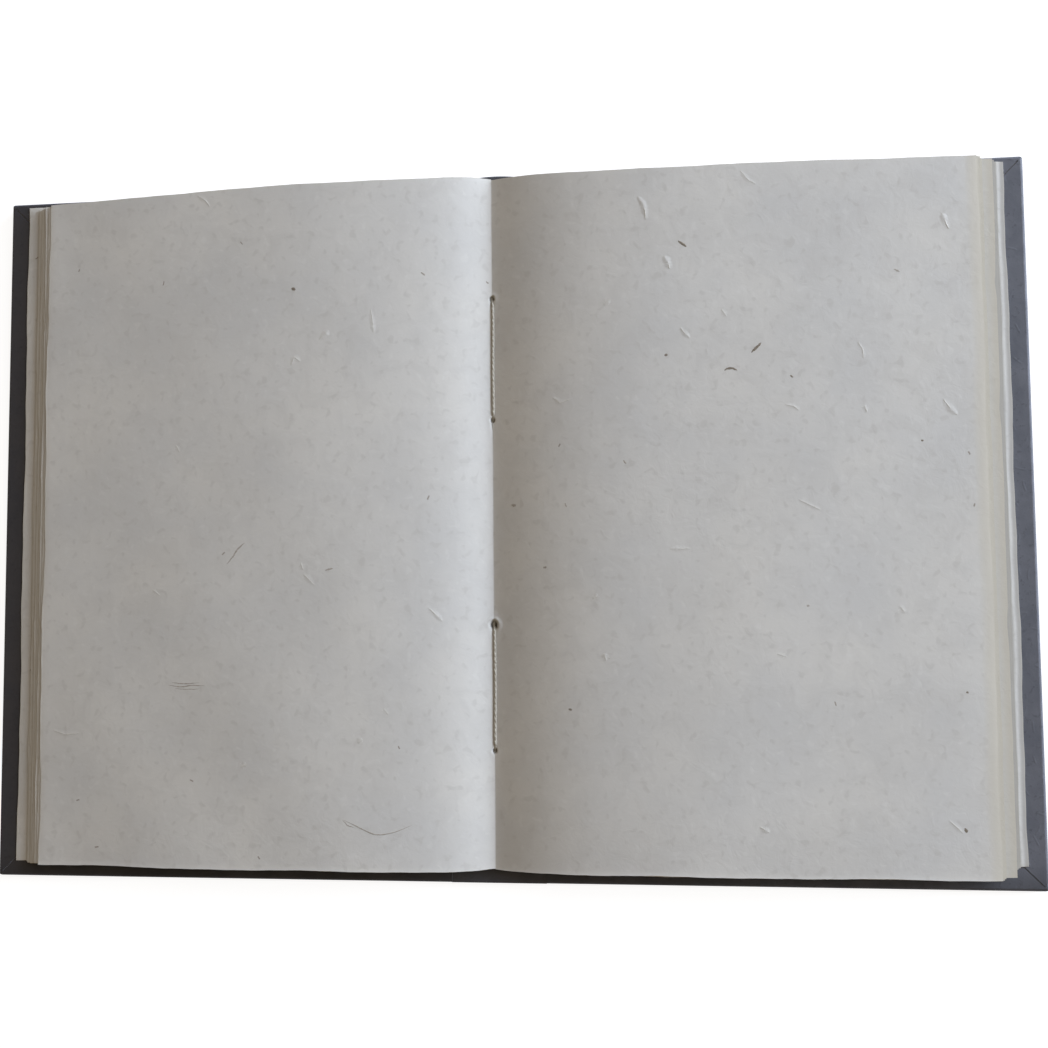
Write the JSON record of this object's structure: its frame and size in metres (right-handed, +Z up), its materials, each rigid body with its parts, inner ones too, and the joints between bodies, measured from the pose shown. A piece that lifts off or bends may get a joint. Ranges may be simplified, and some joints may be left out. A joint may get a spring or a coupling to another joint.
{
  "type": "opened journal",
  "caption": "Hard-cover journal of handmade paper, lying open at a sewn section, with covers that swing closed.",
  "frame": {"origin": "bottom centre of the open cover, on the table under the middle of the spine", "axes": "+X across the spread from the front cover to the back cover, +Y up the page towards the head, +Z up from the table"},
  "size_m": [0.2694, 0.1826, 0.0097],
  "materials": {
    "leaf_paper": "uncoated handmade long-fibre paper",
    "cover_paper": "matt slate-grey handmade paper",
    "board": "plain grey board",
    "lining_paper": "plain kraft-like paper",
    "thread": "unwaxed linen thread"
  },
  "bodies": {
    "spine": {"pages": "leaf_paper", "sewing_thread": "thread", "spine_lining": "lining_paper", "spine_board": "board", "spine_cover_paper": "cover_paper"},
    "front_cover": {"front_board": "board", "front_cover_paper": "cover_paper", "front_pastedown": "leaf_paper"},
    "back_cover": {"back_board": "board", "back_cover_paper": "cover_paper", "back_pastedown": "leaf_paper"}
  },
  "joints": [
    {"name": "front_cover_hinge", "type": "hinge", "parent": "spine", "child": "front_cover", "pos_m": [-0.0083, 0, 0.0014], "axis": [0, 1, 0], "range_deg": [0, 90], "deforming": ["pages"]},
    {"name": "back_cover_hinge", "type": "hinge", "parent": "spine", "child": "back_cover", "pos_m": [0.0083, 0, 0.0014], "axis": [0, -1, 0], "range_deg": [0, 90], "deforming": ["pages"]}
  ]
}
